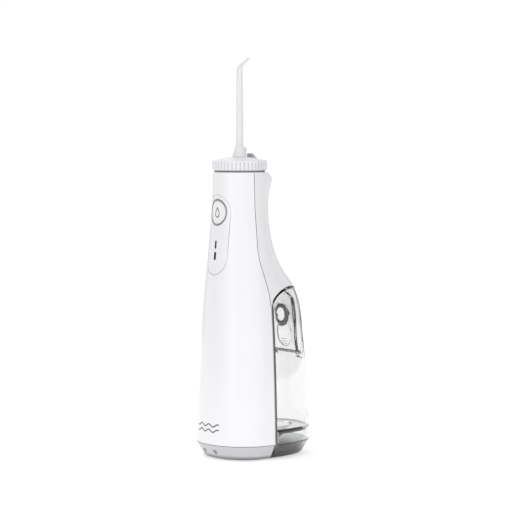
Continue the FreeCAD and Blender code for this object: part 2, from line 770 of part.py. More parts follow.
def door_edge(grow, low_z):
    """The filling door's outline seen from behind, straight sides and a round top, thickened along y."""
    half, port_z = float(d.door_half_width) + grow, float(d.port_z)
    round_r = float(d.door_round_r) + grow
    side_z = port_z + math.sqrt(round_r ** 2 - half ** 2)
    corners = [Vector(half, 0, side_z), Vector(-half, 0, side_z),
               Vector(-half, 0, low_z), Vector(half, 0, low_z)]
    edges = [Part.Arc(corners[0], Vector(0, 0, port_z + round_r), corners[1]).toShape()]
    for a, b in zip(corners[1:], corners[2:] + corners[:1]):
        edges.append(Part.LineSegment(a, b).toShape())
    face = Part.Face(Part.Wire(edges))
    face.translate(Vector(0, 25, 0))
    return face.extrude(Vector(0, 45, 0))


def door_y(z):
    return smooth([(h, y) for h, y in sheet_points("door_face", DOOR_FACE)], z)


def behind_face(inward):
    """Everything behind the tank's flat back moved inward, with slopes out to the body above and below."""
    points = [Vector(0, y - inward, z) for z, y in sheet_points("door_face", DOOR_FACE)]
    back = Part.BSplineCurve()
    back.interpolate(points)
    low, high = points[0], points[-1]
    return side_prism([
        back.toShape(), line((high.y, high.z), (70, high.z + 4.0)),
        line((70, high.z + 4.0), (70, low.z - 7.0)),
        line((70, low.z - 7.0), (low.y, low.z))])


def half_space(y, low_z, high_z):
    """Everything behind y between two heights."""
    return Part.makeBox(120, 100, high_z - low_z, Vector(-60, y, low_z))


def sump(growth):
    """The funnel under the tank's floor, or its outside when growth is the thickness of its skin."""
    low_z, floor_z = float(d.sump_low_z), float(d.tank_floor_z)
    foot_r, rim_r = float(d.sump_foot_r), float(d.sump_rim_r)
    drop = 0.8 * growth
    return Part.makeCone(foot_r + 0.9 * growth, rim_r + growth, floor_z - low_z + drop + 0.01,
                         Vector(0, float(d.sump_y), low_z - drop))


def door_ears(shell):
    """The groove for the door's hinge barrel, and the ear at each of its ends."""
    hinge_y, low = float(d.hinge_y), float(d.door_low_z)
    groove_half = float(d.door_half_width) + SIDE_GAP
    start = Vector(-groove_half, hinge_y, low)
    shell = shell.cut(Part.makeCylinder(1.95, 2 * groove_half, start, Vector(1, 0, 0)))
    for side in (-1, 1):
        ear = Part.makeCylinder(1.7, 2.0, Vector(side * groove_half, hinge_y, low), Vector(side, 0, 0))
        web_x = min(side * groove_half, side * (groove_half + 2))
        web = Part.makeBox(2.0, 2.6, 3.0, Vector(web_x, hinge_y - 2.6, low - 1.5))
        shell = shell.fuse(ear).fuse(web)
    return shell


def tank():
    """The clear tank, its hinge pin, front plate and spout."""
    plate_y = float(d.bay_y + d.tank_gap)
    shell_y = plate_y + float(d.tank_plate)
    gap, wall, thick = float(d.tank_gap), float(d.tank_wall), float(d.door_thick)
    crease, floor_z, low = float(d.crease_z), float(d.tank_floor_z), float(d.door_low_z)
    port_z, spout_z = float(d.port_z), float(d.spout_z)
    outer = FULL.common(tank_region(gap, shell_y, crease)).cut(behind_face(0))
    inner = hull(wall)
    pocket = behind_face(thick + 0.1 + wall).common(door_edge(2.2, low - 4.6))
    cavity = inner.common(tank_region(gap + wall, shell_y - 5, floor_z)).cut(behind_face(wall)).cut(pocket)
    under = inner.common(half_space(shell_y + wall, crease - 1, floor_z - wall))
    duct = along_y(float(d.spout_r), 0, spout_z, shell_y, float(d.sump_y))
    duct_bore = along_y(float(d.spout_bore_r), 0, spout_z, shell_y - 1, float(d.sump_y))
    shell = outer.cut(cavity).cut(under.cut(sump(1.9)).cut(duct)).cut(sump(0)).cut(duct_bore)
    shell = shell.cut(door_edge(SIDE_GAP, low - 2.4).common(behind_face(thick + 0.1)))
    shell = shell.cut(along_y(float(d.port_r), 0, port_z, 25, 60))
    shell = shell.cut(along_y(9.1, 0, port_z, 25, 60).common(behind_face(thick + 1.9)))
    shell = door_ears(shell)
    pin_reach = float(d.door_half_width) + 2.2
    pin = Part.makeCylinder(float(d.hinge_r), 2 * pin_reach, Vector(-pin_reach, float(d.hinge_y), low),
                            Vector(1, 0, 0))
    part("tank_shell", formed(shell.cut(pin)))
    part("door_hinge_pin", formed(pin))
    plate = FULL.common(tank_region(gap, plate_y, crease)).cut(half_space(shell_y, 0, 200))
    part("tank_front_plate", formed(plate.cut(along_y(float(d.spout_r), 0, spout_z, 0, 20))))
    part("tank_spout", turned([
        (d.spout_bore_r, 0), (3.0, 0), (3.4, 0.5), (3.4, 1.8), (2.7, 1.8), (2.7, 3.4), (3.4, 3.4),
        (3.4, 5.0), (d.spout_r, 5.4), (d.spout_r, 8.5), (d.spout_bore_r, 8.5)], (0, 0.9, d.spout_z), "Y"))
    part("spout_ring", ring(3.11, 0.41, (0, 0.9 + 2.6, d.spout_z), "Y"))


def tank_foot():
    """The tank's base below the crease: a hollow tapered foot with two pads at the back."""
    plate_y, crease, foot_z = float(d.bay_y + d.tank_gap), float(d.crease_z), 0.5
    foot = skirt(0, foot_z, 1.6).common(half_space(plate_y, foot_z, crease))
    foot = foot.cut(skirt(2.6, 0).common(half_space(plate_y + 2.6, foot_z + 2.4, 30)))
    for side in (-1, 1):
        foot = foot.fuse(Part.makeCylinder(2.6, 1.2, Vector(side * 14, 34, 0)))
    part("tank_base", formed(foot))


def door():
    """The filling door: a leaf with a hinge barrel and a clear boss, and the rubber seal round the boss."""
    thick, hinge_y, low = float(d.door_thick), float(d.hinge_y), float(d.door_low_z)
    half, port_z = float(d.door_half_width), float(d.port_z)
    back = door_y(port_z) - thick
    seal_bore, reach = float(d.seal_bore_r), float(d.seal_reach)
    leaf = behind_face(thick).cut(behind_face(0)).common(door_edge(0, low))
    leaf = leaf.fuse(Part.makeCylinder(1.65, 2 * half, Vector(-half, hinge_y, low), Vector(1, 0, 0)))
    bore = Part.makeCylinder(float(d.hinge_r) + 0.05, 80, Vector(-40, hinge_y, low), Vector(1, 0, 0))
    scoop = stadium(8.4, low + 4.0, port_z - 4.5, 25, 70).common(behind_face(1.3))
    boss = along_y(seal_bore - 0.05, 0, port_z, back - reach, back + 1.0).cut(behind_face(thick - 0.5))
    part("fill_door", formed(leaf.cut(bore).cut(scoop).fuse(boss)))
    seal = along_y(float(d.seal_r), 0, port_z, back - reach, back + 1.0)
    seal = seal.fuse(along_y(float(d.seal_flange_r), 0, port_z, back - 0.95, back + 1.0))
    seal = seal.cut(behind_face(thick)).cut(along_y(seal_bore, 0, port_z, back - 4.0, back + 2.0))
    part("door_seal", formed(seal))


def inlet():
    """The handle's half of the water joint, and the hose from it up to the pump."""
    z, y = d.spout_z, d.hose_y
    seat = turned([
        (0, -3.0), (6.2, -3.0), (6.2, 4.9), (3.55, 4.9), (3.55, 0.6), (0, 0.6)], (0, 0.2, z), "Y")
    elbow = fuse(seat, rod(2.6, 9.0, (-9.0, y, z), "X"), rod(d.hose_bore_r - 0.02, 13.5, (-13.5, y, z), "X"))
    part("inlet_fitting", cut(elbow, rod(0.9, 14.5, (-14.6, y, z), "X"), rod(1.5, 2.6, (0, y, z), "Y"),
                              rod(3.55, 5.0, (0, 0.8, z), "Y")))
    far, near = float(d.hose_low_x), float(d.hose_x)
    low_y, high_y, start_z = float(y), float(d.pump_y), float(z)
    route = [(-9.6, low_y, start_z), (far, low_y, start_z), (far, low_y, 108), (near, high_y, 140),
             (near, high_y, 171.5)]
    part("suction_hose", hose(route, float(d.hose_r), float(d.hose_bore_r), (7, 40, 40)))


def bent_path(points, radii):
    """Straight runs joined by tangent arcs."""
    corners = [Vector(*p) for p in points]
    edges = []
    start = corners[0]
    for before, corner, after, radius in zip(corners, corners[1:], corners[2:], radii):
        come, go = (corner - before).normalize(), (after - corner).normalize()
        half_turn = come.getAngle(go) / 2
        reach = radius * math.tan(half_turn)
        inward = (go - come).normalize()
        centre = corner + inward * (radius / math.cos(half_turn))
        first, last = corner - come * reach, corner + go * reach
        edges.append(Part.LineSegment(start, first).toShape())
        edges.append(Part.Arc(first, centre - inward * radius, last).toShape())
        start = last
    edges.append(Part.LineSegment(start, corners[-1]).toShape())
    return Part.Wire(edges)


def swept(points, radius, radii):
    path = bent_path(points, radii)
    start = Vector(*points[0])
    way = Vector(*points[1]) - start
    circle = Part.Wire([Part.makeCircle(radius, start, way)])
    return path.makePipeShell([circle], True, False)


def hose(points, radius, bore_radius, radii):
    return formed(swept(points, radius, radii).cut(swept(points, bore_radius, radii)))


def power():
    """Two rechargeable cells in their cradle, with welded straps, and the wiring."""
    x, y, low, length, r = d.cell_x, d.cell_y, d.cell_low_z, d.cell_length, d.cell_r
    cells = []
    for side in (-1, 1):
        cells.append(fuse(rod(r, length, (x * side, y, low)), rod(2.6, 1.0, (x * side, y, low + length))))
    part("battery_cells", group(*cells))
    straps = [block((-10.2, 10.2), (y - 2, y + 2), (low + length + 1.0, low + length + 1.25))]
    for side in (-1, 1):
        straps.append(block((x * side - 2.4, x * side + 2.4), (y - 6, y + 2), (low - 0.25, low)))
    part("battery_straps", group(*straps))
    ribs = [block((side * 4.5 - 1, side * 4.5 + 1), (y + 8.2, 3.45), (28, 60)) for side in (-1, 1)]
    cradle = fuse(block((-15.4, 15.4), (y, y + 8.4), (25, 62)), *ribs)
    cradle = cut(cradle,
                 rod(r + 0.15, length + 8, (-x, y, low - 4)), rod(r + 0.15, length + 8, (x, y, low - 4)),
                 block((-6, 6), (y - 3, y + 3), (low - 3, low + length + 5)))
    part("battery_cradle", cradle)
    leads = []
    for side in (-1, 1):
        leads.append(swept([(side * 9.4, -11, 68.9), (side * 14.8, -11, 68.9), (side * 14.8, -12, 138.6),
                            (side * 7.2, -12.75, 138.9)], float(d.lead_r), (2.2, 2.2)))
        leads.append(swept([(side * 7.9, -9, 73.4), (side * 16.2, -8, 73.4), (side * 16.2, -8, 136.0),
                            (side * 5.6, -12.75, 136.8)], float(d.lead_r), (2.2, 2.2)))
    part("internal_leads", formed(Part.makeCompound(leads)))


def board():
    """The control board with its switch, lights and chips."""
    y, thick, half = d.board_y, d.board_thick, d.board_half_width
    z = d.button_z
    slab = block((-half, half), (y, y + thick), (d.board_low_z, d.board_high_z))
    holes = [rod(1.0, 5, (0, y - 1, hole_z), "Y") for hole_z in (d.board_screw_low_z, d.board_screw_high_z)]
    part("control_board", cut(slab, *holes))
    switch = block((-3, 3), (y - 1.8, y), (z - 3, z + 3))
    part("tact_switch", cut(switch, rod(1.7, 1.5, (0, y - 1.8, z), "Y")))
    membrane_back = 0.15 - level(float(z), float(d.wall) + 0.6)[1]
    part("switch_plunger", rod(1.6, (y - 0.9) - membrane_back, (0, membrane_back, z), "Y"))
    back = y + thick
    lights = []
    for lens_z in (d.lens_high_z, d.lens_low_z):
        lights.append(block((-1.0, 1.0), (y - 0.9, y), (lens_z - 0.8, lens_z + 0.8)))
    part("board_parts", group(
        *lights,
        block((-3.5, 3.5), (back, back + 1.0), (160, 165)),
        block((-6.5, -3.0), (back, back + 0.8), (146, 149)),
        block((2.5, 6.5), (back, back + 0.9), (148, 152)),
        block((-5.5, 5.5), (back, back + 1.1), (152.6, 155.4))))


def motor():
    """The motor: can, end cap with its two tabs, shaft and pinion."""
    r, y, low, top = d.motor_r, d.motor_y, d.motor_low_z, motor_top()
    can = turned([
        (1.6, low), (r - 0.3, low), (r, low + 0.3), (r, top - 0.8),
        (r - 0.8, top), (3.0, top), (3.0, top + 1.6),
        (1.6, top + 1.6)], (0, y, 0))
    part("motor_can", cut(can, *[rod(1.0, 3, (side * MOTOR_SCREW_X, y, top - 2.2)) for side in (-1, 1)]))
    cap = cut(rod(r - 0.5, 2.0, (0, y, low - 2.0)), rod(1.6, 3, (0, y, low - 2.5)))
    tabs = []
    for tab_x in (-7, 7):
        tabs.append(block((tab_x - 0.25, tab_x + 0.25), (y - 1.2, y + 1.2), (low - 4.0, low - 2.0)))
    part("motor_end_cap", fuse(cap, *tabs))
    part("motor_shaft", rod(d.shaft_r, top + 14.2 - low, (0, y, low - 1.6)))
    part("motor_pinion", pinion(float(top) + 4.0, 6.6))


def pinion(low_z, length):
    """A small spur gear, one tooth towards the crown gear."""
    teeth, module = int(d.pinion_teeth.value), float(d.gear_module)
    pitch = teeth * module / 2
    root, outer = pitch - 0.95, pitch + 0.65
    core = Part.makeCylinder(root + 0.05, length, Vector(0, 0, low_z))
    tooth = Part.makePolygon([Vector(-0.62, root - 0.2, low_z), Vector(-0.44, pitch, low_z),
                              Vector(-0.2, outer, low_z), Vector(0.2, outer, low_z),
                              Vector(0.44, pitch, low_z), Vector(0.62, root - 0.2, low_z),
                              Vector(-0.62, root - 0.2, low_z)])
    bar = Part.Face(tooth).extrude(Vector(0, 0, length))
    for i in range(teeth):
        turned_bar = bar.copy()
        turned_bar.rotate(Vector(0, 0, 0), Vector(0, 0, 1), 360 * i / teeth)
        core = core.fuse(turned_bar)
    core = core.cut(Part.makeCylinder(float(d.shaft_r), length, Vector(0, 0, low_z)))
    core.translate(Vector(0, float(d.motor_y), 0))
    return formed(core)


def drive():
    """The crown gear with its crank boss, its axle, and the rod that the boss carries round."""
    module, teeth = float(d.gear_module), int(d.gear_teeth.value)
    pitch_r = module * teeth / 2
    pitch_y = float(d.motor_y) + float(d.pinion_teeth) * module / 2
    root_y, tip_y = pitch_y + 0.95, pitch_y - 0.65
    back_y = root_y + 1.4
    gear_z = float(d.gear_z)
    disc = along_y(pitch_r + 1.7, 0, gear_z, root_y, back_y)
    rim_hollow = along_y(pitch_r - 2.6, 0, gear_z, root_y - 0.1, root_y + 0.8)
    disc = disc.cut(rim_hollow).fuse(along_y(3.4, 0, gear_z, tip_y, back_y))
    reach_low, reach_high = pitch_r - 1.5, pitch_r + 1.5
    profile = [(-0.8, root_y + 0.1), (-0.48, pitch_y), (-0.24, tip_y), (0.24, tip_y), (0.48, pitch_y),
               (0.8, root_y + 0.1)]
    corners = [Vector(x, y, gear_z - reach_high) for x, y in profile]
    bar = Part.Face(Part.makePolygon(corners + corners[:1])).extrude(Vector(0, 0, reach_high - reach_low))
    teeth_bars = []
    for i in range(teeth):
        copy = bar.copy()
        copy.rotate(Vector(0, 0, gear_z), Vector(0, 1, 0), 360 * (i + 0.5) / teeth)
        teeth_bars.append(copy)
    gear = disc.fuse(teeth_bars)
    throw = float(d.crank_throw)
    crank_end = float(d.pump_y) + 1.9
    gear = gear.fuse(along_y(float(d.crank_r), 0, gear_z + throw, back_y, crank_end))
    gear = gear.cut(along_y(float(d.axle_r) + 0.05, 0, gear_z, -20, 20))
    part("drive_gear", formed(gear))
    part("gear_axle", rod(d.axle_r, 19.6, (0, -15.2, d.gear_z), "Y"))

    pump_y, width = float(d.pump_y), 2.8
    crank_z, small_z = gear_z + throw, gear_z + throw + float(d.rod_length)
    near, far = pump_y - width / 2, pump_y + width / 2
    big_end = along_y(float(d.crank_r) + 2.1, 0, crank_z, near, far)
    shank = Part.makeBox(4.4, width, small_z - crank_z, Vector(-2.2, near, crank_z))
    small_end = stadium(3.5, small_z - 4.6, small_z + 4.6, near, far)
    rod_shape = big_end.fuse(shank).fuse(small_end)
    rod_shape = rod_shape.cut(along_y(float(d.crank_r) + 0.05, 0, crank_z, -20, 20))
    rod_shape = rod_shape.cut(stadium(2.15, small_z - 3.25, small_z + 3.25, -20, 20))
    part("connecting_rod", formed(rod_shape))
    part("axle_clips", group(tube(3.2, d.axle_r, 0.6, (0, pump_y + 2.0, d.gear_z), "Y"),
                             tube(2.6, d.axle_r, 0.6, (0, -8.2, d.gear_z), "Y")))


def pump():
    """The piston pump: crosshead and piston, cylinder, head with its two valves, and cap."""
    y, top, low = d.pump_y, d.pump_top_z, d.pump_low_z
    wrist_z = d.gear_z + d.crank_throw + d.rod_length
    slot_half, guide_r = 1.7, d.guide_r
    head_low = wrist_z + 9.0
    head = turned([
        (0, wrist_z - 4.0), (guide_r, wrist_z - 4.0), (guide_r, head_low), (3.4, head_low),
        (3.4, head_low + 2.2), (d.piston_r, head_low + 2.2), (d.piston_r, head_low + 4.0),
        (3.9, head_low + 4.0), (3.9, head_low + 5.6),
        (d.piston_r, head_low + 5.6), (d.piston_r, head_low + 7.6), (0, head_low + 7.6)], (0, y, 0))
    slot = block((-8, 8), (y - slot_half, y + slot_half), (wrist_z - 6, wrist_z + 7.2))
    pin_hole = rod(1.0, 16, (0, y - 8, wrist_z), "Y")
    part("piston", cut(head, slot, pin_hole))
    part("wrist_pin", rod(1.0, 11.6, (0, y - 5.8, wrist_z), "Y"))
    part("piston_seal", turned([(3.92, head_low + 4.05), (d.bore_r - 0.03, head_low + 4.05),
                                (d.bore_r - 0.03, head_low + 5.55), (3.92, head_low + 5.55)], (0, y, 0)))
    bore = guide_r + d.running_gap
    barrel = turned([
        (bore, low), (12.2, low), (12.2, low + 2.2), (d.pump_r, low + 2.2), (d.pump_r, top),
        (d.bore_r, top), (d.bore_r, head_low + 1.6), (bore, head_low + 0.6)], (0, y, 0))
    front_flat = block((-14, 14), (y - 14, y - 9.8), (low - 1, low + 4))
    holes = [rod(1.0, 6, (side * PUMP_SCREW_X, y, low - 1)) for side in (-1, 1)]
    part("pump_cylinder", cut(barrel, front_flat, *holes))

    inlet_x = d.inlet_x
    head_top = d.head_top_z
    body = rod(d.head_r, head_top - top, (0, y, top))
    hose_x, elbow_z, barb_r = d.hose_x, 178.6, d.hose_bore_r - 0.02
    barb = fuse(rod(2.2, inlet_x - hose_x, (hose_x, y, elbow_z), "X"),
                rod(2.2, 3.4, (hose_x, y, elbow_z - 3.4)),
                rod(barb_r, 8.0, (hose_x, y, 169.6)), ball(2.2, (hose_x, y, elbow_z)))
    ways = [
        rod(2.0, 6.0, (inlet_x, y, top)), rod(1.0, 8.9, (inlet_x, y, top)),
        rod(0.9, inlet_x - hose_x + 0.4, (hose_x, y, elbow_z), "X"), rod(0.9, 9.4, (hose_x, y, 169.2)),
        rod(1.0, 5.0, (0, 0, top)), rod(2.0, head_top - top - 4.5, (0, 0, top + 4.5)),
    ]
    part("pump_head", cut(fuse(body, barb), *ways))
    seat_drop = 1.25
    part("inlet_valve_ball", ball(d.valve_r, (inlet_x, y, top + 6.0 - seat_drop)))
    part("outlet_valve_ball", ball(d.valve_r, (0, 0, top + 4.5 + seat_drop)))
    coil_r, wire_r, turns, up = 1.45, 0.18, 3, Vector(0, 0, 1)
    inlet_low = Vector(float(inlet_x), float(y), float(top) + 0.33)
    outlet_low = Vector(0, 0, float(top + 4.5 + seat_drop) + 1.35)
    part("inlet_valve_spring", spring(coil_r, wire_r, turns, inlet_low, 2.35, up))
    part("outlet_valve_spring", spring(coil_r, wire_r, turns, outlet_low, 3.4, up))
    cap = fuse(rod(d.head_r, 2.0, (0, y, head_top)), rod(1.9, 4.0, (0, 0, head_top + 2.0)))
    part("pump_cap", cut(cap, rod(0.95, 7, (0, 0, head_top - 0.5))))
    cup = turned([
        (d.spout_bore_r - 0.05, 183.1), (3.2, 183.1), (3.2, 187.4), (7.4, 187.4), (7.4, 197.2),
        (d.socket_r - 0.5, 197.2), (d.socket_r - 0.5, 190.0), (1.0, 190.0), (1.0, 187.1),
        (d.spout_bore_r - 0.05, 187.1)])
    part("water_coupling", cup)


def frame():
    """The inner chassis that carries the battery cradle, motor, gear axle and pump."""
    top, deck_z, y = motor_top(), d.pump_low_z, d.pump_y
    back = block((-13.0, 13.0), (3.5, 5.0), (24.0, deck_z))
    shelf = cut(block((-13.4, 13.4), (d.motor_y - 10.0, 5.0), (top + 0.1, top + 2.5)),
                rod(3.3, 6, (0, d.motor_y, top - 1)),
                *[rod(1.0, 6, (side * MOTOR_SCREW_X, d.motor_y, top - 1)) for side in (-1, 1)])
    deck = cut(block((-13.0, 13.0), (-11.8, 5.0), (deck_z - 2.6, deck_z)),
               rod(7.0, 6, (0, y, deck_z - 4)), block((-5, 5), (-11, -1.0), (deck_z - 4, deck_z + 1)),
               *[rod(1.0, 6, (side * PUMP_SCREW_X, y, deck_z - 4)) for side in (-1, 1)])
    post = block((-4.6, 4.6), (-15.2, -13.4), (top + 0.1, d.gear_z + 4.6))
    gussets = [block((side * 12.2 - 0.8, side * 12.2 + 0.8), (d.motor_y - 9.5, 5.0), (top + 2.4, top + 6))
               for side in (-1, 1)]
    chassis = fuse(back, shelf, deck, post, *gussets)
    holes = [rod(d.axle_r, 40, (0, -20, d.gear_z), "Y")]
    holes += [rod(1.25, 10, (x, 0, z), "Y") for x, z in FRAME_SCREWS]
    part("chassis", cut(chassis, *holes))


def build():
    handle_shells()
    rear_handle()
    base()
    knob()
    tip()
    tank()
    tank_foot()
    door()
    inlet()
    power()
    board()
    motor()
    drive()
    pump()
    frame()
    fasteners()


def check():
    """Stops if the document holds a failed object or a sub-part has no valid solid."""
    doc.recompute()
    failed = [o.Name for o in doc.Objects if {"Invalid", "Error"} & set(o.State)]
    if failed:
        raise RuntimeError(f"these objects failed: {failed}")
    for name, obj in parts.items():
        shape = obj.Shape
        if shape.isNull() or not shape.isValid() or not shape.Solids or shape.Volume <= 0:
            raise RuntimeError(f"{name} is not a valid solid")


def write():
    os.makedirs("parts", exist_ok=True)
    for name, obj in parts.items():
        solids = obj.Shape.Solids
        shape = solids[0] if len(solids) == 1 else Part.makeCompound(solids)
        shape.exportStep(os.path.join("parts", f"{name}.step"))
        print(f"{name}: {len(solids)} solid(s), {sum(s.Volume for s in solids) / 1000:.2f} cm3")


build()
check()
write()
print(len(parts), "sub-parts")
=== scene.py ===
"""The looks of a cordless water flosser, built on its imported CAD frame. Metres, +Z up, front towards -Y."""
import math

import bmesh
import bpy
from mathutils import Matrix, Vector
from mathutils.bvhtree import BVHTree


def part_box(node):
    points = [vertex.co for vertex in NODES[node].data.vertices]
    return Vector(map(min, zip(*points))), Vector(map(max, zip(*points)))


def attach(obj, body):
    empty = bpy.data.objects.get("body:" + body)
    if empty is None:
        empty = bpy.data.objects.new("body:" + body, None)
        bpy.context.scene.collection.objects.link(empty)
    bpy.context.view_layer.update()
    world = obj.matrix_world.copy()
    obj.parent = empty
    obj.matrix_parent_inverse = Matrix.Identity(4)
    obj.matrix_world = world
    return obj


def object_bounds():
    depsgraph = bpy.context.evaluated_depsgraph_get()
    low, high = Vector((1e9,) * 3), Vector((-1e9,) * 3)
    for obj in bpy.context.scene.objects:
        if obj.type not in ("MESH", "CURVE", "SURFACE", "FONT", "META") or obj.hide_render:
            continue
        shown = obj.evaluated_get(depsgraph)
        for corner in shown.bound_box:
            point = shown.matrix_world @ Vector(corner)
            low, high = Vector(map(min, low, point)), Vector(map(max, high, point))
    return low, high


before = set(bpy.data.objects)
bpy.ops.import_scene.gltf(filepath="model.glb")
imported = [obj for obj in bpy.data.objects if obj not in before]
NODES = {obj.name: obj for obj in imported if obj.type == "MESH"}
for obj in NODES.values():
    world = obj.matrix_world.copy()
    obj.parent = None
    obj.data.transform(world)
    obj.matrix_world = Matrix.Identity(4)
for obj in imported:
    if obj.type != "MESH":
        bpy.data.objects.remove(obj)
CAD_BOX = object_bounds()
MM = 0.001


# ---- places read from the frame ----

collar_low, collar_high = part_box("tip_collar")
AXIS = Vector(((collar_low.x + collar_high.x) / 2, (collar_low.y + collar_high.y) / 2, 0))
knob_low, knob_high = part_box("rotation_knob")
knob_radius = (knob_high.x - knob_low.x) / 2
shoulder_z = knob_high.z - 2.6 * MM  # the knob's sides end here and its crown begins
seal_low, seal_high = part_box("door_seal")
seal_middle = (seal_low + seal_high) / 2
seal_radius = (seal_high.x - seal_low.x) / 2 - 1.8 * MM  # to the middle of the seal's band
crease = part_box("tank_base")[1].z
tank_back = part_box("tank_shell")[1].y
door_low, door_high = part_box("fill_door")
latch_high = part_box("eject_button")[1]
latch_middle = latch_high.y - 2.0 * MM
button_low, button_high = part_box("power_button")
cap_radius = (button_high.x - button_low.x) / 2
bezel_low, bezel_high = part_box("button_bezel")
bezel_radius = (bezel_high.x - bezel_low.x) / 2
button_centre = (0.0, (bezel_low.z + bezel_high.z) / 2)


# ---- materials: small helpers over shader nodes ----

SKIN_SCALE = 1800.0  # the fine grain of moulded plastic
LAY_SCALE = 900.0  # tool marks on metal
WAVE_SCALE, WAVE_DEPTH = 70.0, 0.00003  # flow waves in clear plastic
BOARD_SCALE = 420.0  # a circuit board's tracks


def shader(name):
    """A new node material and its principled shader."""
    made = bpy.data.materials.new(name)
    made.use_nodes = True
    return made, made.node_tree, made.node_tree.nodes["Principled BSDF"]


def node(tree, kind, **settings):
    """A new node in a tree, with its settings."""
    made = tree.nodes.new(kind)
    for key, value in settings.items():
        setattr(made, key, value)
    return made


def set_inputs(made, **values):
    """Sets a node's inputs, named with underscores for spaces."""
    for key, value in values.items():
        made.inputs[key.replace("_", " ")].default_value = value
    return made


def noise(tree, scale, detail=3.0, stretch=(1, 1, 1)):
    """Noise in the object's own metres, stretched along the axes."""
    coords = node(tree, "ShaderNodeTexCoord")
    mapping = node(tree, "ShaderNodeMapping")
    mapping.inputs["Scale"].default_value = stretch
    tree.links.new(coords.outputs["Object"], mapping.inputs["Vector"])
    made = node(tree, "ShaderNodeTexNoise")
    set_inputs(made, Scale=scale, Detail=detail, Roughness=0.55)
    tree.links.new(mapping.outputs["Vector"], made.inputs["Vector"])
    return made.outputs["Fac"]


def ramp(tree, value, stops):
    """A colour ramp over stops of (place, colour)."""
    made = node(tree, "ShaderNodeValToRGB")
    while len(made.color_ramp.elements) < len(stops):
        made.color_ramp.elements.new(0.5)
    for element, (place, colour) in zip(made.color_ramp.elements, stops):
        element.position = place
        element.color = (*colour, 1.0)
    tree.links.new(value, made.inputs["Fac"])
    return made.outputs["Color"]


def span(tree, value, low, high):
    """Maps 0.3..0.7 of a noise onto low..high."""
    made = node(tree, "ShaderNodeMapRange")
    set_inputs(made, From_Min=0.3, From_Max=0.7, To_Min=low, To_Max=high)
    tree.links.new(value, made.inputs["Value"])
    return made.outputs["Result"]


def maths(tree, operation, value, *numbers):
    """A calculation on a value; its numbers are the other inputs."""
    made = node(tree, "ShaderNodeMath", operation=operation)
    tree.links.new(value, made.inputs[0])
    for place, number in enumerate(numbers, start=1):
        if isinstance(number, (int, float)):
            made.inputs[place].default_value = number
        else:
            tree.links.new(number, made.inputs[place])
    return made.outputs["Value"]


def radius_value(tree, point):
    """A point's distance from the tip's axis."""
    moved = node(tree, "ShaderNodeVectorMath", operation="MULTIPLY_ADD")
    moved.inputs[1].default_value = (1, 1, 0)
    moved.inputs[2].default_value = (-AXIS.x, -AXIS.y, 0)
    length = node(tree, "ShaderNodeVectorMath", operation="LENGTH")
    tree.links.new(point, moved.inputs[0])
    tree.links.new(moved.outputs["Vector"], length.inputs[0])
    return length.outputs["Value"]


def groove_value(tree, point, height):
    """The distance from the tip's axis, raised steeply above the knob's shoulder to leave its crown out."""
    steepness = 12.0
    above = maths(tree, "MULTIPLY_ADD", height, steepness, -steepness * shoulder_z)
    return maths(tree, "ADD", maths(tree, "MAXIMUM", above, 0.0), radius_value(tree, point))


def seal_value(tree, sides):
    """How far a point is from the middle of the door seal's band, across the band."""
    across = node(tree, "ShaderNodeCombineXYZ")
    length = node(tree, "ShaderNodeVectorMath", operation="LENGTH")
    tree.links.new(sides["X"], across.inputs["X"])
    tree.links.new(maths(tree, "SUBTRACT", sides["Z"], seal_middle.z), across.inputs["Z"])
    tree.links.new(across.outputs["Vector"], length.inputs[0])
    return maths(tree, "ABSOLUTE", maths(tree, "SUBTRACT", length.outputs["Value"], seal_radius))


def place_value(tree, kind):
    """What a material's shadow goes by.

    height and back are a point's z and y, and side is its distance to the middle plane. groove leaves the
    knob's crown out of its distance to the tip's axis, seal goes across the door seal's band, and rim is
    how far the surface faces sideways.
    """
    coords = node(tree, "ShaderNodeTexCoord")
    split = node(tree, "ShaderNodeSeparateXYZ")
    point = coords.outputs["Normal" if kind == "rim" else "Object"]
    tree.links.new(point, split.inputs["Vector"])
    if kind == "height":
        return split.outputs["Z"]
    if kind == "back":
        return split.outputs["Y"]
    if kind == "groove":
        return groove_value(tree, point, split.outputs["Z"])
    if kind == "seal":
        return seal_value(tree, split.outputs)
    return maths(tree, "ABSOLUTE", split.outputs["X"])


def between(tree, value, near, far):
    """A smooth step from 0 at near to 1 at far."""
    made = node(tree, "ShaderNodeMapRange", interpolation_type="SMOOTHSTEP")
    set_inputs(made, From_Min=near, From_Max=far, To_Min=0.0, To_Max=1.0)
    tree.links.new(value, made.inputs["Value"])
    return made.outputs["Result"]


def blend_colours(tree, factor, first, second):
    """The first colour where the factor is 0 and the second where it is 1; either may be a socket."""
    made = node(tree, "ShaderNodeMix", data_type="RGBA")
    for key, value in ((0, factor), (6, first), (7, second)):
        if isinstance(value, tuple):
            made.inputs[key].default_value = (*value, 1.0)
        else:
            tree.links.new(value, made.inputs[key])
    return made.outputs[2]


def bump(tree, height, distance, strength=1.0):
    """Small hills from a value, as deep as the distance."""
    made = node(tree, "ShaderNodeBump")
    set_inputs(made, Strength=strength, Distance=distance)
    tree.links.new(height, made.inputs["Height"])
    return made.outputs["Normal"]


def shade(colour, factor):
    """A colour made darker or lighter."""
    return tuple(min(1.0, channel * factor) for channel in colour)


def worn_edges(tree, colour, edge_colour, amount):
    """Blends a colour towards another one where the surface is sharply convex."""
    pointed = node(tree, "ShaderNodeNewGeometry").outputs["Pointiness"]
    made = node(tree, "ShaderNodeMapRange")
    set_inputs(made, From_Min=0.52, From_Max=0.62, To_Min=0.0, To_Max=amount)
    tree.links.new(pointed, made.inputs["Value"])
    return blend_colours(tree, made.outputs["Result"], colour, edge_colour)


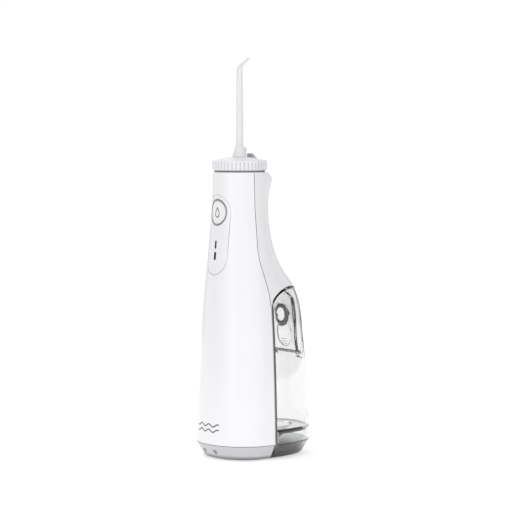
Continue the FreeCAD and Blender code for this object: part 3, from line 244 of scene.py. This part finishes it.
def shadowed(tree, tint, shadow):
    """Painted shade or light: a tint blended to the colour of a shadow of (kind, near, far, colour), all of
    it at near and none at far.
    """
    if shadow is None:
        return tint
    kind, near, far, dark = shadow
    # the shadow's colour is painted shade, and on the door seal a lighter painted band
    return blend_colours(tree, between(tree, place_value(tree, kind), near, far), dark, tint)


def moulded(name, colour, roughness, grain=0.00002, mottle=0.03, coat=0.0, soft=0.0, edge=0.0, shadow=None):
    """Injection-moulded plastic: faint mottling, an orange-peel skin and uneven gloss."""
    made, tree, bsdf = shader(name)
    broad = noise(tree, 26.0, 2.0)
    tint = ramp(tree, broad, [(0.3, shade(colour, 1 - mottle)), (0.7, shade(colour, 1 + mottle * 0.4))])
    if edge:
        tint = worn_edges(tree, tint, shade(colour, 1.05), edge)
    tree.links.new(shadowed(tree, tint, shadow), bsdf.inputs["Base Color"])
    gloss = span(tree, noise(tree, 35.0, 2.0), roughness - 0.015, roughness + 0.02)
    tree.links.new(gloss, bsdf.inputs["Roughness"])
    tree.links.new(bump(tree, noise(tree, SKIN_SCALE, 2.0), grain, 0.6), bsdf.inputs["Normal"])
    bsdf.inputs["Coat Weight"].default_value = coat
    bsdf.inputs["Coat Roughness"].default_value = 0.06
    bsdf.inputs["Subsurface Weight"].default_value = soft
    bsdf.inputs["Subsurface Scale"].default_value = 0.002
    return made


def rubber(name, colour):
    """Matt rubber with a little dust on it."""
    made, tree, bsdf = shader(name)
    dusty = ramp(tree, noise(tree, 160.0, 6.0), [(0.3, colour), (0.75, shade(colour, 1.6))])
    tree.links.new(dusty, bsdf.inputs["Base Color"])
    tree.links.new(span(tree, noise(tree, 420.0), 0.5, 0.68), bsdf.inputs["Roughness"])
    tree.links.new(bump(tree, noise(tree, 2600.0), 0.00004), bsdf.inputs["Normal"])
    return made


def metal(name, colour, roughness, lay=(1, 1, 1)):
    """Machined or drawn metal; lay stretches the tool marks."""
    made, tree, bsdf = shader(name)
    marks = noise(tree, LAY_SCALE, 4.0, lay)
    tint = ramp(tree, marks, [(0.3, shade(colour, 0.82)), (0.7, shade(colour, 1.1))])
    tree.links.new(worn_edges(tree, tint, shade(colour, 1.25), 0.6), bsdf.inputs["Base Color"])
    tree.links.new(span(tree, marks, roughness * 0.7, roughness * 1.4), bsdf.inputs["Roughness"])
    tree.links.new(bump(tree, marks, 0.00002, 0.7), bsdf.inputs["Normal"])
    bsdf.inputs["Metallic"].default_value = 1.0
    return made


def clear(name, colour, roughness=0.015, ior=1.5, density=0.0, shadow=None):
    """Polished clear plastic with faint flow waves from its moulding, and a tint that grows with depth."""
    made, tree, bsdf = shader(name)
    tint = ramp(tree, noise(tree, 14.0, 2.0), [(0.3, shade(colour, 0.985)), (0.7, colour)])
    if density:
        depth = node(tree, "ShaderNodeVolumeAbsorption")
        set_inputs(depth, Color=(0.88, 0.89, 0.885, 1.0), Density=density)
        tree.links.new(depth.outputs["Volume"], tree.nodes["Material Output"].inputs["Volume"])
    tree.links.new(shadowed(tree, tint, shadow), bsdf.inputs["Base Color"])
    haze = span(tree, noise(tree, 45.0, 6.0), roughness, roughness + 0.02)
    tree.links.new(haze, bsdf.inputs["Roughness"])
    waves = noise(tree, WAVE_SCALE, 1.0)
    tree.links.new(bump(tree, waves, WAVE_DEPTH, 0.5), bsdf.inputs["Normal"])
    bsdf.inputs["Transmission Weight"].default_value = 1.0
    bsdf.inputs["IOR"].default_value = ior
    return made


def milky(name, colour, clarity, painted_glow=0.0, shadow=None):
    """Translucent moulded plastic that scatters light, with an optional glow of its own tint: painted light,
    not a lamp.
    """
    made = clear(name, colour, 0.12, 1.45, shadow=shadow)
    bsdf = made.node_tree.nodes["Principled BSDF"]
    tint = bsdf.inputs["Base Color"].links[0].from_socket
    made.node_tree.links.new(tint, bsdf.inputs["Emission Color"])
    bsdf.inputs["Transmission Weight"].default_value = clarity
    bsdf.inputs["Emission Strength"].default_value = painted_glow
    return made


def circuit_board(name):
    """A green lacquered board with paler tracks."""
    made, tree, bsdf = shader(name)
    coords = node(tree, "ShaderNodeTexCoord")
    cells = node(tree, "ShaderNodeTexVoronoi", feature="DISTANCE_TO_EDGE", distance="MANHATTAN")
    cells.inputs["Scale"].default_value = BOARD_SCALE
    tree.links.new(coords.outputs["Object"], cells.inputs["Vector"])
    track, ground = (0.09, 0.36, 0.18), (0.02, 0.16, 0.07)
    tracks = ramp(tree, cells.outputs["Distance"], [
        (0.0, track), (0.05, track), (0.07, ground), (1.0, (0.02, 0.17, 0.08))])
    tree.links.new(tracks, bsdf.inputs["Base Color"])
    tree.links.new(bump(tree, cells.outputs["Distance"], 0.00005), bsdf.inputs["Normal"])
    bsdf.inputs["Roughness"].default_value = 0.35
    return made


MATERIALS = {
    "shell_white": moulded("shell_white", (0.92, 0.917, 0.945), 0.24, coat=0.3, mottle=0.008),
    "shell_rear": moulded("shell_rear", (0.885, 0.882, 0.905), 0.24, coat=0.3, mottle=0.008),
    "panel_white": moulded("panel_white", (0.905, 0.902, 0.93), 0.28, coat=0.25, mottle=0.008),
    "button_white": moulded("button_white", (0.91, 0.91, 0.93), 0.30, coat=0.2, mottle=0.015),
    # painted shade: the knob's grooves are painted darker towards their floors, where shade falls between the
    # ribs
    "knob_grey": moulded("knob_grey", (0.87, 0.865, 0.89), 0.36, grain=0.00004, mottle=0.02, edge=0.4,
                         shadow=("groove", knob_radius - 0.75 * MM, knob_radius - 0.15 * MM,
                                 (0.60, 0.60, 0.63))),
    "collar_grey": moulded("collar_grey", (0.87, 0.865, 0.895), 0.34, grain=0.00004, mottle=0.02, edge=0.4),
    # painted shade: the eject button's front half, towards the tip, is painted darker for the shade on that
    # face
    "latch_grey": moulded("latch_grey", (0.82, 0.82, 0.84), 0.34, grain=0.00004, mottle=0.03, edge=0.4,
                          shadow=("back", latch_middle - 0.1 * MM, latch_middle + 0.1 * MM,
                                  (0.50, 0.50, 0.51))),
    # painted shadow: the base cap darkens to near black at its bottom edge, where it meets the floor
    "base_grey": moulded("base_grey", (0.58, 0.575, 0.605), 0.36, grain=0.00005, mottle=0.03,
                         shadow=("height", 0.0, 4.5 * MM, (0.05, 0.05, 0.055))),
    # painted shade: the tank's foot darkens towards the bottom, to near black at the floor
    "tank_foot": clear("tank_foot", (0.52, 0.53, 0.54), 0.04, 1.5, density=25.0,
                       shadow=("height", 0.5 * MM, crease, (0.03, 0.03, 0.03))),
    # painted shade: the clear tank is tinted darker towards its back, drawing the dark outline of its back
    # corner
    "tank_clear": clear("tank_clear", (0.985, 0.986, 0.983), density=100.0,
                        shadow=("back", tank_back - 3.0 * MM, tank_back - 16.0 * MM, (0.88, 0.88, 0.88))),
    # painted light: the plate glows with its own tint to stand in for light that the clear tank keeps from
    # it; painted shade darkens it where it faces sideways, drawing its edge as a dark line
    "plate_frost": milky("plate_frost", (0.76, 0.765, 0.765), 0.5, painted_glow=0.22,
                         shadow=("rim", 0.8, 0.5, (0.08, 0.08, 0.08))),
    # painted shade: the fill door is painted darker right at its side edges, for the dark band seen there
    "door_clear": clear("door_clear", (0.95, 0.957, 0.957), 0.03, density=75.0,
                        shadow=("side", door_high.x + 0.05 * MM, door_high.x - 0.12 * MM,
                                (0.30, 0.30, 0.30))),
    "grip_clear": milky("grip_clear", (0.45, 0.45, 0.45), 0.6),
    "tip_clear": milky("tip_clear", (0.99, 0.99, 0.995), 0.18),
    "bezel_metal": metal("bezel_metal", (0.62, 0.62, 0.64), 0.34),
    "smoked": moulded("smoked", (0.012, 0.012, 0.014), 0.2, coat=0.3),
    "black_plastic": moulded("black_plastic", (0.035, 0.035, 0.04), 0.42, grain=0.00005),
    "print_grey": moulded("print_grey", (0.10, 0.10, 0.115), 0.4),
    "shadow_gap": moulded("shadow_gap", (0.05, 0.05, 0.055), 0.8),
    # painted shade: the grey of the line round the control panel, for the shade in its gap
    "panel_gap": moulded("panel_gap", (0.38, 0.38, 0.40), 0.8),
    "pom_white": moulded("pom_white", (0.84, 0.84, 0.80), 0.40, soft=0.1),
    "frame_grey": moulded("frame_grey", (0.36, 0.37, 0.39), 0.5, grain=0.00006, edge=0.4),
    "dark_rubber": rubber("dark_rubber", (0.025, 0.025, 0.028)),
    "hose_rubber": rubber("hose_rubber", (0.60, 0.60, 0.58)),
    "washer_rubber": rubber("washer_rubber", (0.20, 0.20, 0.21)),
    # painted light and shade: the middle of the seal's band is painted lighter (0.55) than its dark edges,
    # for its lit face and shaded rims
    "seal_silicone": moulded("seal_silicone", (0.16, 0.16, 0.165), 0.4, soft=0.1,
                             shadow=("seal", 1.0 * MM, 1.6 * MM, (0.55, 0.55, 0.55))),
    "wire_rubber": rubber("wire_rubber", (0.45, 0.03, 0.02)),
    "steel": metal("steel", (0.56, 0.57, 0.58), 0.28),
    "dark_steel": metal("dark_steel", (0.10, 0.10, 0.105), 0.30),
    "plated": metal("plated", (0.66, 0.66, 0.65), 0.34, (1, 1, 0.03)),
    "brass": metal("brass", (0.72, 0.52, 0.22), 0.30, (1, 1, 0.05)),
    "contact": metal("contact", (0.34, 0.30, 0.22), 0.30),
    "board": circuit_board("board"),
    "cell_sleeve": moulded("cell_sleeve", (0.03, 0.22, 0.09), 0.33, coat=0.2, mottle=0.08),
}

NODE_MATERIALS = {
    "shell_white": ["front_shell"],
    "shell_rear": ["rear_shell"],
    "panel_white": ["control_panel", "bay_wall"],
    "button_white": ["power_button"],
    "knob_grey": ["rotation_knob"],
    "collar_grey": ["tip_collar"],
    "latch_grey": ["eject_button"],
    "base_grey": ["base_cap"],
    "tank_foot": ["tank_base"],
    "tank_clear": ["tank_shell", "tank_spout"],
    "plate_frost": ["tank_front_plate"],
    "door_clear": ["fill_door"],
    "tip_clear": ["jet_tip"],
    "bezel_metal": ["button_bezel"],
    "smoked": ["indicator_lenses"],
    "black_plastic": ["neck_plate", "inlet_fitting", "tact_switch", "switch_plunger", "board_parts"],
    "pom_white": ["tip_socket", "motor_end_cap", "drive_gear", "connecting_rod", "piston", "pump_cylinder",
                  "pump_head", "pump_cap", "water_coupling"],
    "frame_grey": ["battery_cradle", "chassis"],
    "dark_rubber": ["button_membrane", "foot_pads", "socket_ring", "spout_ring", "piston_seal"],
    "washer_rubber": ["knob_washer"],
    "seal_silicone": ["door_seal"],
    "hose_rubber": ["suction_hose"],
    "wire_rubber": ["internal_leads"],
    "steel": ["case_screws", "small_screws", "latch_spring", "gear_axle", "axle_clips", "wrist_pin",
              "inlet_valve_ball", "outlet_valve_ball", "inlet_valve_spring", "outlet_valve_spring",
              "motor_shaft"],
    "dark_steel": ["door_hinge_pin"],
    "plated": ["motor_can", "battery_straps"],
    "brass": ["motor_pinion"],
    "contact": ["charge_contacts"],
    "board": ["control_board"],
    "cell_sleeve": ["battery_cells"],
}


for material_name, members in NODE_MATERIALS.items():
    for member in members:
        mesh = NODES[member].data
        mesh.materials.clear()
        mesh.materials.append(MATERIALS[material_name])


# ---- drawn details ----

FRONT, UP = Vector((0, -1, 0)), Vector((0, 0, 1))
FAR = 1.0  # further than any point of the object


def surface_of(name):
    """A ray caster over a CAD node's own mesh."""
    mesh = NODES[name].data
    points = [v.co.copy() for v in mesh.vertices]
    return BVHTree.FromPolygons(points, [tuple(p.vertices) for p in mesh.polygons])


def look(tree, place, way):
    """The first point and its normal where a line through a place, along a way, meets a surface."""
    hit = tree.ray_cast(Vector(place) - Vector(way) * FAR, Vector(way))
    if hit[0] is None:
        return None
    return hit[0], hit[1]


def seen_from_front(tree, outline):
    """Points and normals on a surface behind an outline of (x, z)."""
    return [look(tree, (x, 0, z), -FRONT) for x, z in outline]


def shape(name, mesh, material, body):
    """A mesh as a piece of the object that rides on a body."""
    for polygon in mesh.polygons:
        polygon.use_smooth = True
    made = bpy.data.objects.new(name, mesh)
    bpy.context.scene.collection.objects.link(made)
    made.data.materials.append(MATERIALS[material])
    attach(made, body)


def strip(name, places, width, height, material, body, closed=True, sunk=0.35):
    """A low rounded bead along (point, normal) pairs; sunk is how far its feet go under, in heights."""
    count = len(places)
    profile = [(-0.5, -sunk), (-0.38, 0.62), (0.0, 1.0), (0.38, 0.62), (0.5, -sunk)]
    vertices, faces = [], []
    for i, (point, normal) in enumerate(places):
        before = places[i - 1][0] if closed or i else point
        after = places[(i + 1) % count][0] if closed or i < count - 1 else point
        side = (after - before).cross(normal).normalized()
        for across, up in profile:
            vertices.append(point + side * across * width + normal * up * height)
    wide = len(profile)
    for i in range(count if closed else count - 1):
        j = (i + 1) % count
        for k in range(wide - 1):
            faces.append((i * wide + k, j * wide + k, j * wide + k + 1, i * wide + k + 1))
    mesh = bpy.data.meshes.new(name)
    mesh.from_pydata(vertices, [], faces)
    mesh.update()
    shape(name, mesh, material, body)


def circle(radius, centre, count=96):
    """An upright circle's points."""
    return [(centre[0] + radius * math.cos(2 * math.pi * i / count),
             centre[1] + radius * math.sin(2 * math.pi * i / count)) for i in range(count)]


def drop(width, height, centre, count=72):
    """A water drop's outline with its point upwards."""
    points = []
    for i in range(count):
        angle = 2 * math.pi * i / count
        pinch = math.sin(angle / 2) ** 1.1
        points.append((centre[0] + width / 2 * math.sin(angle) * pinch,
                       centre[1] + height / 2 * math.cos(angle)))
    return points


def slot_outline(half, low, high, count=24):
    """An upright slot with round ends."""
    points = []
    for i in range(2 * count + 2):
        end, step = divmod(i, count + 1)
        angle = math.pi * (end + step / count)
        middle_z = high - half if end == 0 else low + half
        points.append((half * math.cos(angle), middle_z + half * math.sin(angle)))
    return points


front_skin = surface_of("front_shell")


def button_marks():
    """The drop on the power button, the step round its face, and the dark line in its ring."""
    button_skin = surface_of("power_button")
    outline = drop(5.8 * MM, 6.8 * MM, button_centre)
    strip("button_drop", seen_from_front(button_skin, outline), width=0.85 * MM, height=0.06 * MM,
          material="print_grey", body="power_button")
    step = circle(cap_radius - 1.25 * MM, button_centre)
    strip("button_step", seen_from_front(button_skin, step), width=0.55 * MM, height=0.10 * MM,
          material="button_white", body="power_button")
    line = circle(bezel_radius - 0.32 * MM, button_centre)
    strip("bezel_line", seen_from_front(surface_of("button_bezel"), line), width=0.44 * MM, height=0.05 * MM,
          material="shadow_gap", body="handle")


def panel_shade_line():
    """The fine line round the control panel, on the shell just outside the panel: a grey bead, painted shade
    for the gap round the panel.
    """
    low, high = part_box("control_panel")
    gap, outside = 0.125 * MM, 1.02
    middle_z = button_centre[1]
    places = []
    for x, z in slot_outline(high.x + gap, low.z - gap, high.z + gap):
        probe = (x * outside, 0, middle_z + (z - middle_z) * outside)
        point, normal = look(front_skin, probe, -FRONT)
        places.append((Vector((x, point.y, z)), normal))
    strip("panel_shade_line", places, width=0.42 * MM, height=0.04 * MM,
          material="panel_gap", body="handle")


def shell_edge(side, z):
    """Where the front shell ends at a height, as y, found by halving."""
    near, far = AXIS.y - 8 * MM, AXIS.y + 14 * MM
    for _ in range(24):
        y = (near + far) / 2
        hit = look(front_skin, (0, y, z), Vector((-side, 0, 0)))
        if hit and hit[0].x * side > knob_radius / 2:
            near = y
        else:
            far = y
    return near


def seam_shade_strip(side, word, count=90):
    """The line between the two shells on one side, from under the knob down to the tank bay: a dark strip
    sunk in the gap, painted shade for the shadow inside the seam.
    """
    rear_low, rear_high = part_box("rear_shell")
    top, foot = rear_high.z - 0.3 * MM, rear_low.z + 1.5 * MM
    places = []
    for i in range(count):
        z = top + (foot - top) * i / (count - 1)
        y = shell_edge(side, z)
        point, normal = look(front_skin, (0, y - 0.15 * MM, z), Vector((-side, 0, 0)))
        places.append((Vector((point.x, y + 0.2 * MM, z)), normal))
    strip(f"seam_shade_strip_{word}", places, width=0.5 * MM, height=0.05 * MM,
          material="shadow_gap", body="handle", closed=False, sunk=8.0)


def wave_marks(count=91):
    """Two printed wave lines low on the front."""
    length, height, half = 9.0 * MM, 0.95 * MM, 12.5 * MM
    for row, middle_z in enumerate((25.0 * MM, 21.2 * MM)):
        wave = []
        for i in range(count):
            x = -half + 2 * half * i / (count - 1)
            wave.append((x, middle_z + height * math.sin(2 * math.pi * x / length)))
        strip(f"wave_mark_{row + 1}", seen_from_front(front_skin, wave), width=1.05 * MM, height=0.03 * MM,
              material="print_grey", body="handle", closed=False)


def door_grips():
    """Four fine ridges in the door's finger scoop."""
    skin = surface_of("fill_door")
    for row in range(4):
        z = door_low.z + (5.6 + 1.7 * row) * MM
        ridge = [look(skin, (x * MM, 0, z), FRONT) for x in (-3.6, -1.8, 0.0, 1.8, 3.6)]
        strip(f"door_grip_{row + 1}", ridge, width=0.5 * MM, height=0.12 * MM,
              material="grip_clear", body="door", closed=False)


def eject_grips():
    """Four fine ribs across the back of the eject button."""
    skin = surface_of("eject_button")
    for row in range(4):
        y = latch_high.y - (0.35 + 0.45 * row) * MM
        ribs = [look(skin, (x * MM, y, 0), -UP) for x in (-2.2, -1.1, 0.0, 1.1, 2.2)]
        strip(f"eject_grip_{row + 1}", ribs, width=0.28 * MM, height=0.08 * MM,
              material="latch_grey", body="eject", closed=False)


def floor_edge_shade(count=120):
    """A dark bead round the inside of the clear tank's wall, under its floor: painted shade for the dark line
    along the floor's edge.
    """
    skin = surface_of("tank_shell")
    wall, z = 2.3 * MM, crease + 8.0 * MM
    centre = Vector((0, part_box("tank_front_plate")[1].y + 2.4 * MM, z))
    places = []
    for i in range(count):
        angle = math.pi * i / (count - 1)
        way = Vector((math.cos(angle), math.sin(angle), 0))
        hit, normal, _, _ = skin.ray_cast(centre + way * FAR, -way)
        places.append((hit - normal * wall, -normal))
    strip("floor_edge_shade", places, width=1.3 * MM, height=0.3 * MM,
          material="shadow_gap", body="tank", closed=False)


button_marks()
panel_shade_line()
seam_shade_strip(1, "right")
seam_shade_strip(-1, "left")
wave_marks()
door_grips()
eject_grips()
floor_edge_shade()


# ---- floor, light and camera ----

FLOOR_RADIUS, FLOOR_GAP = 1.1, 0.2 * MM


def grey(level):
    """A grey colour."""
    return (level, level, level)


def greys(*stops):
    """Grey stops for a colour ramp."""
    return [(place, grey(level)) for place, level in stops]


def lay_floor():
    """A round pale floor just under the object."""
    material, tree, bsdf = shader("studio_floor")
    tint = ramp(tree, noise(tree, 3.0, 2.0), [(0.3, grey(0.60)), (0.7, grey(0.62))])
    tree.links.new(tint, bsdf.inputs["Base Color"])
    set_inputs(bsdf, Roughness=0.75, Specular_IOR_Level=0.0, Emission_Color=(1, 1, 1, 1),
               Emission_Strength=0.60)
    mesh = bpy.data.meshes.new("floor")
    disc = bmesh.new()
    bmesh.ops.create_circle(disc, cap_ends=True, radius=FLOOR_RADIUS, segments=96)
    disc.to_mesh(mesh)
    disc.free()
    floor = bpy.data.objects.new("floor", mesh)
    floor.data.materials.append(material)
    bpy.context.scene.collection.objects.link(floor)
    floor.location.z = CAD_BOX[0].z - FLOOR_GAP


def area_light(name, place, aim, size, power):
    """A rectangular soft light turned towards a point."""
    data = bpy.data.lights.new(name, "AREA")
    data.shape = "RECTANGLE"
    data.size, data.size_y = size
    data.energy = power
    lamp = bpy.data.objects.new(name, data)
    bpy.context.scene.collection.objects.link(lamp)
    lamp.location = place
    lamp.rotation_euler = (Vector(aim) - Vector(place)).to_track_quat("-Z", "Y").to_euler()


CAMERA_AZIMUTH = math.radians(53.9)
RIGHT = Vector((math.cos(CAMERA_AZIMUTH), math.sin(CAMERA_AZIMUTH), 0))
TOWARDS = Vector((math.sin(CAMERA_AZIMUTH), -math.cos(CAMERA_AZIMUTH), 0))
middle = AXIS + UP * 0.14

lay_floor()
area_light("key", middle + TOWARDS * 0.8 - RIGHT * 0.7 + UP * 0.25, middle, size=(0.5, 1.1), power=1.3)
area_light("fill", middle + TOWARDS * 0.6 + RIGHT * 1.1 + UP * 0.2, middle, size=(0.5, 1.1), power=1.1)
area_light("back", middle - TOWARDS * 0.9 - RIGHT * 0.4 + UP * 0.6, middle, size=(0.8, 0.8), power=1.2)


def lean(tree, way):
    """How far a direction of the sky leans along a way, from -1 to 1."""
    direction = node(tree, "ShaderNodeTexCoord")
    along = node(tree, "ShaderNodeVectorMath", operation="DOT_PRODUCT")
    along.inputs[1].default_value = way
    tree.links.new(direction.outputs["Generated"], along.inputs[0])
    return along.outputs["Value"]


def wall_tone(tree):
    """The studio's walls from left to right, with two dark flags behind the object that draw its outline."""
    sideways = node(tree, "ShaderNodeMapRange")
    set_inputs(sideways, From_Min=-1.0, From_Max=1.0, To_Min=0.0, To_Max=1.0)
    tree.links.new(lean(tree, RIGHT), sideways.inputs["Value"])
    walls = ramp(tree, sideways.outputs["Result"], greys(
        (0.0, 0.25), (0.06, 0.58), (0.25, 0.84), (0.5, 0.90),
        (0.75, 0.92), (0.87, 0.84), (0.94, 0.42), (0.975, 0.05)))
    flags = ramp(tree, sideways.outputs["Result"], greys(
        (0.14, 0.85), (0.19, 0.60), (0.31, 0.60), (0.35, 0.90),
        (0.65, 0.90), (0.69, 0.55), (0.81, 0.55), (0.86, 0.85)))
    return blend_colours(tree, between(tree, lean(tree, -TOWARDS), 0.45, 0.60), walls, flags)


def studio_world():
    """A world whose walls light the object while the camera sees plain white."""
    world = bpy.data.worlds.new("studio")
    bpy.context.scene.world = world
    world.use_nodes = True
    sky = world.node_tree
    sky.nodes.clear()
    sky_out = node(sky, "ShaderNodeOutputWorld")
    seen = set_inputs(node(sky, "ShaderNodeBackground"), Color=(1, 1, 1, 1), Strength=1.02)
    around = set_inputs(node(sky, "ShaderNodeBackground"), Strength=1.0)
    sky.links.new(wall_tone(sky), around.inputs["Color"])
    ray = node(sky, "ShaderNodeLightPath")
    choose = node(sky, "ShaderNodeMixShader")
    sky.links.new(ray.outputs["Is Camera Ray"], choose.inputs[0])
    sky.links.new(around.outputs["Background"], choose.inputs[1])
    sky.links.new(seen.outputs["Background"], choose.inputs[2])
    sky.links.new(choose.outputs["Shader"], sky_out.inputs["Surface"])


studio_world()

FOCAL_PIXELS, FRAME_PIXELS, SENSOR = 2025.7, 512, 36.0
CAMERA_AWAY, CAMERA_ASIDE = 1.470, 0.01179  # metres from the tip's axis
CAMERA_HEIGHT, AIM_HEIGHT = 0.236, 0.146

camera_data = bpy.data.cameras.new("camera")
camera_data.sensor_width = SENSOR
camera_data.lens = SENSOR * FOCAL_PIXELS / FRAME_PIXELS
camera = bpy.data.objects.new("camera", camera_data)
bpy.context.scene.collection.objects.link(camera)
camera.location = AXIS + RIGHT * CAMERA_ASIDE + TOWARDS * CAMERA_AWAY + UP * CAMERA_HEIGHT
aim = AXIS + RIGHT * CAMERA_ASIDE + UP * AIM_HEIGHT
camera.rotation_euler = (aim - camera.location).to_track_quat("-Z", "Y").to_euler()
bpy.context.scene.camera = camera
bpy.context.scene.view_settings.view_transform = "Standard"
